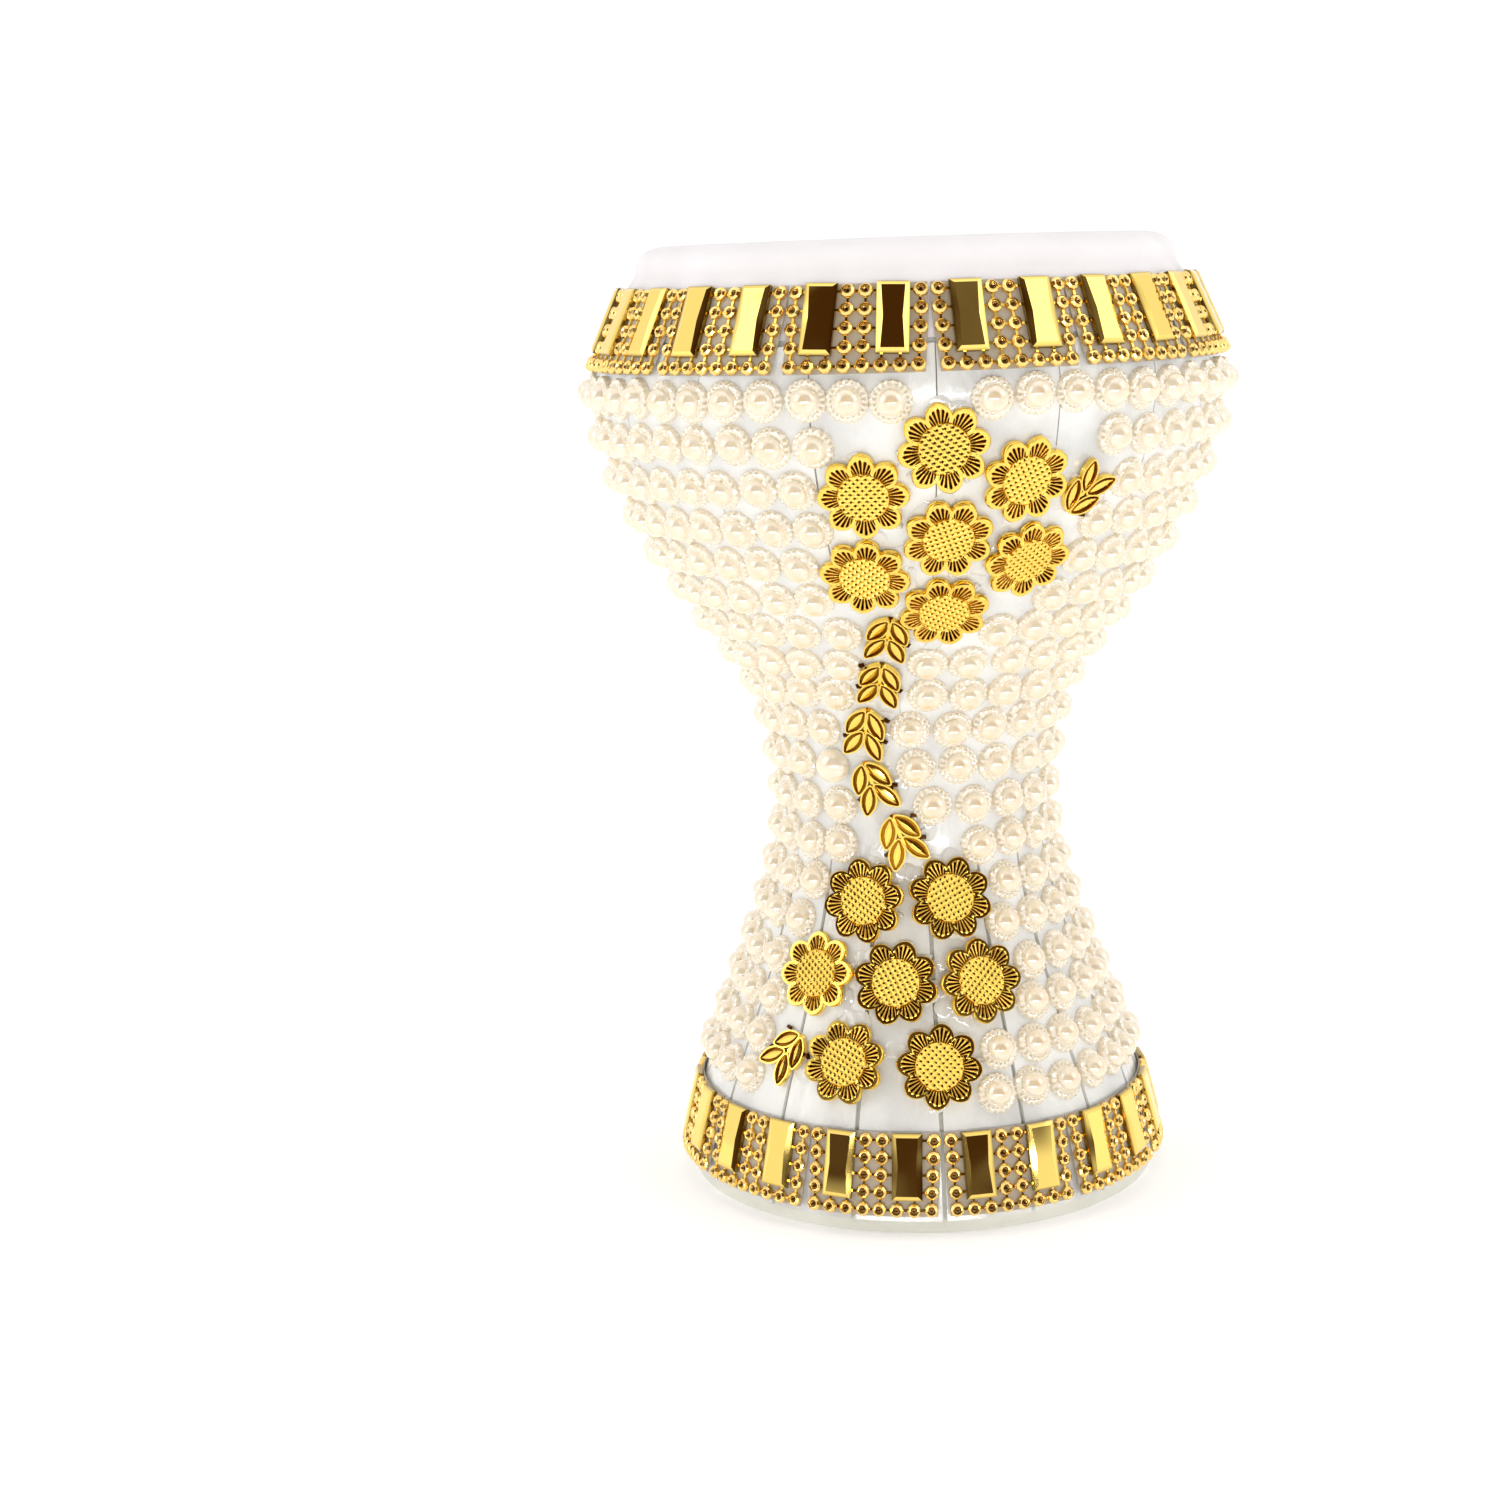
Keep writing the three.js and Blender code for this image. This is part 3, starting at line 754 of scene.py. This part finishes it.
def sprigs():
    """Four leaves and a stem to a sprig, with the nubs left where a neighbour broke off, painted
    near black as shade.
    """
    one = leaf()
    for i, turn in enumerate(SPRIG_TURNS):
        name = f"leaf_sprig_{i + 1}"
        place, _ = plate_frame(name, turn)
        if name == LEANING_SPRIG:
            place = place @ turned(LEAN, 0)
        shape = Mesh()
        for side, root in [(1, 6.6), (-1, 6.6), (1, 0.4), (-1, 0.4)]:
            at = shifted(side * 0.5, root, 0.15 * (root < 1)) @ turned(side * 30)
            shape.add(*one.arrays(), at=at)
        shape.add(*block(0.6, 5.2, 1.1, 0.8).arrays(), at=shifted(0, 1.8, 0))
        for side, y in [(1, 4.6), (-1, 4.9), (1, -1.8), (-1, -2.6)]:
            if rng.random() < 0.6:
                nub = shifted(side * 5.4, y, 0.1) @ turned(side * 70)
                # The nubs are marked 1, near black: painted shade and reflection over the stubs'
                # own gold
                shape.add(*block(0.55, 0.9, 0.9, 0.5).arrays()[:3], 1.0, at=nub)
        piece("gold_" + name, shape.copies([place]), gold_finish, "gold", name, sharp=40.0)


# ---- pearls ----
def pearl():
    """A half-pearl whose sloping rim is fluted and ends in little round beads."""
    turns, beads = 80, 20
    radius, rise, base, under = 3.55, 3.3, 1.35, -1.5  # the ball, its seat and the underside
    a = np.arange(turns) * 2 * np.pi / turns
    flute = 0.5 + 0.5 * np.cos(a * beads)
    t = np.linspace(0.1, 1, 8) * np.pi / 2
    outline = [(radius * math.sin(s), base + rise * math.cos(s), 0, 0) for s in t]
    outline += [(3.8, 1.15, 0.1, 0.0), (4.3, 1.25, 0.3, 0.0), (4.85, 1.05, 0.36, 0.0),
                (5.3, 0.6, 0.24, 0.26), (5.34, 0.0, 0, 0.3), (5.2, under, 0, 0.2)]
    rows = []
    for r, z, up, out in outline:  # up and out: how far the beads stand up and out there
        reach = r + out * (flute - 0.6)
        rows.append(np.stack([reach * np.cos(a), reach * np.sin(a), z + up * (flute - 0.5)], -1))
    # Painted reflection: the apex is marked low, tan, for the dark patch it mirrors, turning cream
    # down the flanks; rim beads 0.7
    shades = np.interp(t, np.radians([20, 60]), [0.35, 1.0])
    shades = np.concatenate([shades, np.full(len(rows) - len(t), 0.7)])
    marks = np.concatenate([[0.0], np.repeat(shades, turns), [0.7]])
    return Mesh().add(*closed(rows, (0, 0, base + rise), (0, 0, under)), marks)


def row_places(node):
    """Azimuth and middle of each pearl of a CAD row, from the row's own cross-sections."""
    points = packed_points(node)
    azimuth = azimuth_of(points) % 360
    order = np.argsort(azimuth)
    azimuth, points = azimuth[order], points[order]
    sections = np.split(np.arange(len(azimuth)), np.flatnonzero(np.diff(azimuth) > 0.5) + 1)
    centres = [(azimuth[s].mean(), points[s].mean(0)) for s in sections]
    start = max(range(len(centres)),
                key=lambda k: (centres[k][0] - centres[k - 1][0]) % 360)
    centres = centres[start:] + centres[:start]
    return centres[1::2]  # every other section is the neck between two pearls


def pearl_rows():
    """Each row's pearls, pushed and tilted a little as glued by hand."""
    shape = pearl()
    names = sorted(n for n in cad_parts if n.startswith("pearl_row_"))
    for name in names:
        places = []
        for azimuth, middle in row_places(name):
            z = middle[2]
            for _ in range(3):  # closes in on the wall height behind the pearl's middle
                z += middle[2] - wall_frame(azimuth, z, ROW_MIDDLE)[2, 3]
            push = rng.normal(0, 0.28, 2)
            tilt = rng.normal(0, 2.2, 2)
            place = wall_frame(azimuth, z, PEARL_LIFT) @ shifted(push[0], push[1], 0)
            places.append(place @ turned(tilt[0], 0) @ turned(tilt[1], 1)
                          @ turned(rng.uniform(0, 360)))
        piece("pearls_" + name[-2:], shape.copies(places), pearl_finish, "pearl", name)


def plain_pearl():
    """The odd one, a smooth half-pearl with no beaded rim."""
    place, _ = plate_frame("plain_pearl")
    t = np.linspace(0, np.pi / 2, 12)
    cap = [(4.9 * math.sin(s), 4.6 * math.cos(s)) for s in t]
    # Painted reflection: a lighter tan at the apex, cream down the flank
    shades = np.interp(t, np.radians([20, 60]), [0.7, 1.0])
    shape = dome(cap + [(4.7, -0.5), (0, -0.5)], 40, mark=[*shades, 1.0, 1.0])
    piece("pearl_without_rim", shape.copies([place]), pearl_finish, "pearl", "plain_pearl")


# ---- hot glue ----
def smear(size):
    """A thin wrinkled patch of glue with an uneven edge."""
    turns = 40
    a = np.arange(turns) * 2 * np.pi / turns
    phase = rng.uniform(0, 2 * np.pi, 4)
    edge = size * (1 + 0.24 * np.sin(2 * a + phase[0]) + 0.16 * np.sin(3 * a + phase[1])
                   + 0.08 * np.sin(6 * a + phase[2]))
    rows = []
    for t in np.linspace(0.12, 1, 9):
        x, y = t * edge * np.cos(a), t * edge * np.sin(a)
        fold = np.sin(1.9 * x + 1.2 * np.sin(0.9 * y + phase[3])) * (1 - t ** 2)
        rows.append(np.stack([x, y, 0.5 * (1 - t ** 4) + 0.16 * fold], -1))
    rows.append(rows[-1] * (0.95, 0.95, 1) - (0, 0, 0.25))
    return Mesh().add(*closed(rows, (0, 0, 0.5), (0, 0, -0.25)))


def glue():
    """Drops and wrinkled smears of hot glue that squeezed out round the gold pieces."""
    drops, smears = Mesh(), Mesh()
    blob = dome([(0, 1.0), (0.5, 0.86), (0.85, 0.5), (1.0, 0.1), (0.9, -0.3), (0, -0.3)], 12)
    for name in sorted(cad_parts):
        if not name.startswith(("flower_", "leaf_sprig_")):
            continue
        middle = sum(np.array(c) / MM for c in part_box(name)) / 2
        azimuth = float(azimuth_of(middle))
        radius = float(clay_radius(middle[2]))
        reach = 10.6 if name.startswith("flower_") else 5.2

        def spot(angle, out, lift):
            return wall_frame(azimuth + math.degrees(out * math.cos(angle) / radius),
                              middle[2] + 0.85 * out * math.sin(angle), lift)

        for _ in range(6):
            angle, size = rng.uniform(0, 2 * np.pi), rng.uniform(0.5, 1.4)
            drops.add(*blob.arrays(), at=spot(angle, reach + rng.uniform(-0.6, 0.5), 0.0)
                      @ turned(math.degrees(angle)) @ scaled(size * 1.3, size * 0.8, size * 0.9))
        for _ in range(3):
            angle, size = rng.uniform(0, 2 * np.pi), rng.uniform(2.6, 4.6)
            smears.add(*smear(size).arrays(), at=spot(angle, reach * 0.95, 0.1))
    piece("glue_drops", drops, glue_finish, "cover")
    piece("glue_smears", smears, glue_finish, "cover")


# ---- stage ----
def stage():
    """A pale floor in a white tent, lit softly from four sides.

    The tent has one warm dark patch in front, low down, which the gold mirrors.
    """
    bpy.ops.mesh.primitive_plane_add(size=14)
    floor = bpy.context.object
    floor.name = "floor"
    material, _, _ = shader("pale_floor", (0.95, 0.95, 0.95), 0.9, Specular_IOR_Level=0.0,
                            Emission_Color=(1, 1, 1, 1), Emission_Strength=0.26)
    floor.data.materials.append(material)

    world = bpy.data.worlds.new("tent")
    bpy.context.scene.world = world
    world.use_nodes = True
    tree = world.node_tree
    back = tree.nodes["Background"]
    place = tree.nodes.new("ShaderNodeTexCoord")
    split = tree.nodes.new("ShaderNodeSeparateXYZ")
    tree.links.new(place.outputs["Generated"], split.inputs[0])

    def fade(value, start, end):
        node = tree.nodes.new("ShaderNodeMapRange")
        node.interpolation_type = "SMOOTHSTEP"
        node.inputs["From Min"].default_value = start
        node.inputs["From Max"].default_value = end
        tree.links.new(value, node.inputs["Value"])
        return node.outputs["Result"]

    dark = tree.nodes.new("ShaderNodeMath")
    dark.operation = "MULTIPLY"
    tree.links.new(fade(split.outputs["Y"], -0.46, -0.60), dark.inputs[0])
    tree.links.new(fade(split.outputs["Z"], 0.03, 0.08), dark.inputs[1])
    cloud = tree.nodes.new("ShaderNodeTexNoise")
    cloud.inputs["Scale"].default_value = 7
    tree.links.new(place.outputs["Generated"], cloud.inputs["Vector"])
    glints = tree.nodes.new("ShaderNodeMapRange")
    for socket, value in [("From Min", 0.5), ("From Max", 0.75), ("To Min", 1.0), ("To Max", 0.8)]:
        glints.inputs[socket].default_value = value
    tree.links.new(cloud.outputs["Fac"], glints.inputs["Value"])
    patch = tree.nodes.new("ShaderNodeMath")
    patch.operation = "MULTIPLY"
    tree.links.new(dark.outputs[0], patch.inputs[0])
    tree.links.new(glints.outputs["Result"], patch.inputs[1])
    tone = ramp(tree, patch.outputs[0], [(0.0, (1, 1, 1)), (1.0, (0.055, 0.024, 0.008))])
    tree.links.new(tone, back.inputs["Color"])
    back.inputs["Strength"].default_value = 1.03

    for name, spot, width, height, power in [
        ("left", (-1.6, -0.7, 1.0), 1.2, 1.2, 5), ("right", (1.6, -0.4, 1.1), 1.2, 1.2, 4.5),
        ("top", (0.1, 0.2, 2.0), 1.6, 1.6, 2), ("low_front", (0, -2.2, 0.085), 2.4, 0.13, 15),
    ]:
        data = bpy.data.lights.new(name, "AREA")
        data.shape = "RECTANGLE"
        data.size, data.size_y = width, height
        data.energy = power
        lamp = bpy.data.objects.new(name, data)
        lamp.location = spot
        lamp.visible_camera = False
        aim = Vector((0, 0, 0.13)) - lamp.location
        lamp.rotation_euler = aim.to_track_quat("-Z", "Y").to_euler()
        bpy.context.scene.collection.objects.link(lamp)


def camera():
    """In front and a little above, turned so that the drum stands right of the middle."""
    data = bpy.data.cameras.new("camera")
    data.lens = 60.6
    data.sensor_width = 36.0
    eye = bpy.data.objects.new("camera", data)
    bpy.context.scene.collection.objects.link(eye)
    pitch, yaw, roll = math.radians(10.79), math.radians(3.77), math.radians(-1.9)
    away, above = 2.7 * DRUM_HEIGHT * MM, 0.975 * DRUM_HEIGHT * MM
    eye.matrix_world = (
        Matrix.Translation((0, -away, above))
        @ Matrix.Rotation(yaw, 4, "Z") @ Matrix.Rotation(math.pi / 2 - pitch, 4, "X")
        @ Matrix.Rotation(roll, 4, "Z"))
    bpy.context.scene.camera = eye
    bpy.context.scene.view_settings.view_transform = "Standard"


clay_goblet()
drum_skin()
white_cover()
ribbon("top_ribbon", **TOP_RIBBON)
ribbon("bottom_ribbon", **BOTTOM_RIBBON)
flowers()
sprigs()
pearl_rows()
plain_pearl()
glue()
stage()
camera()
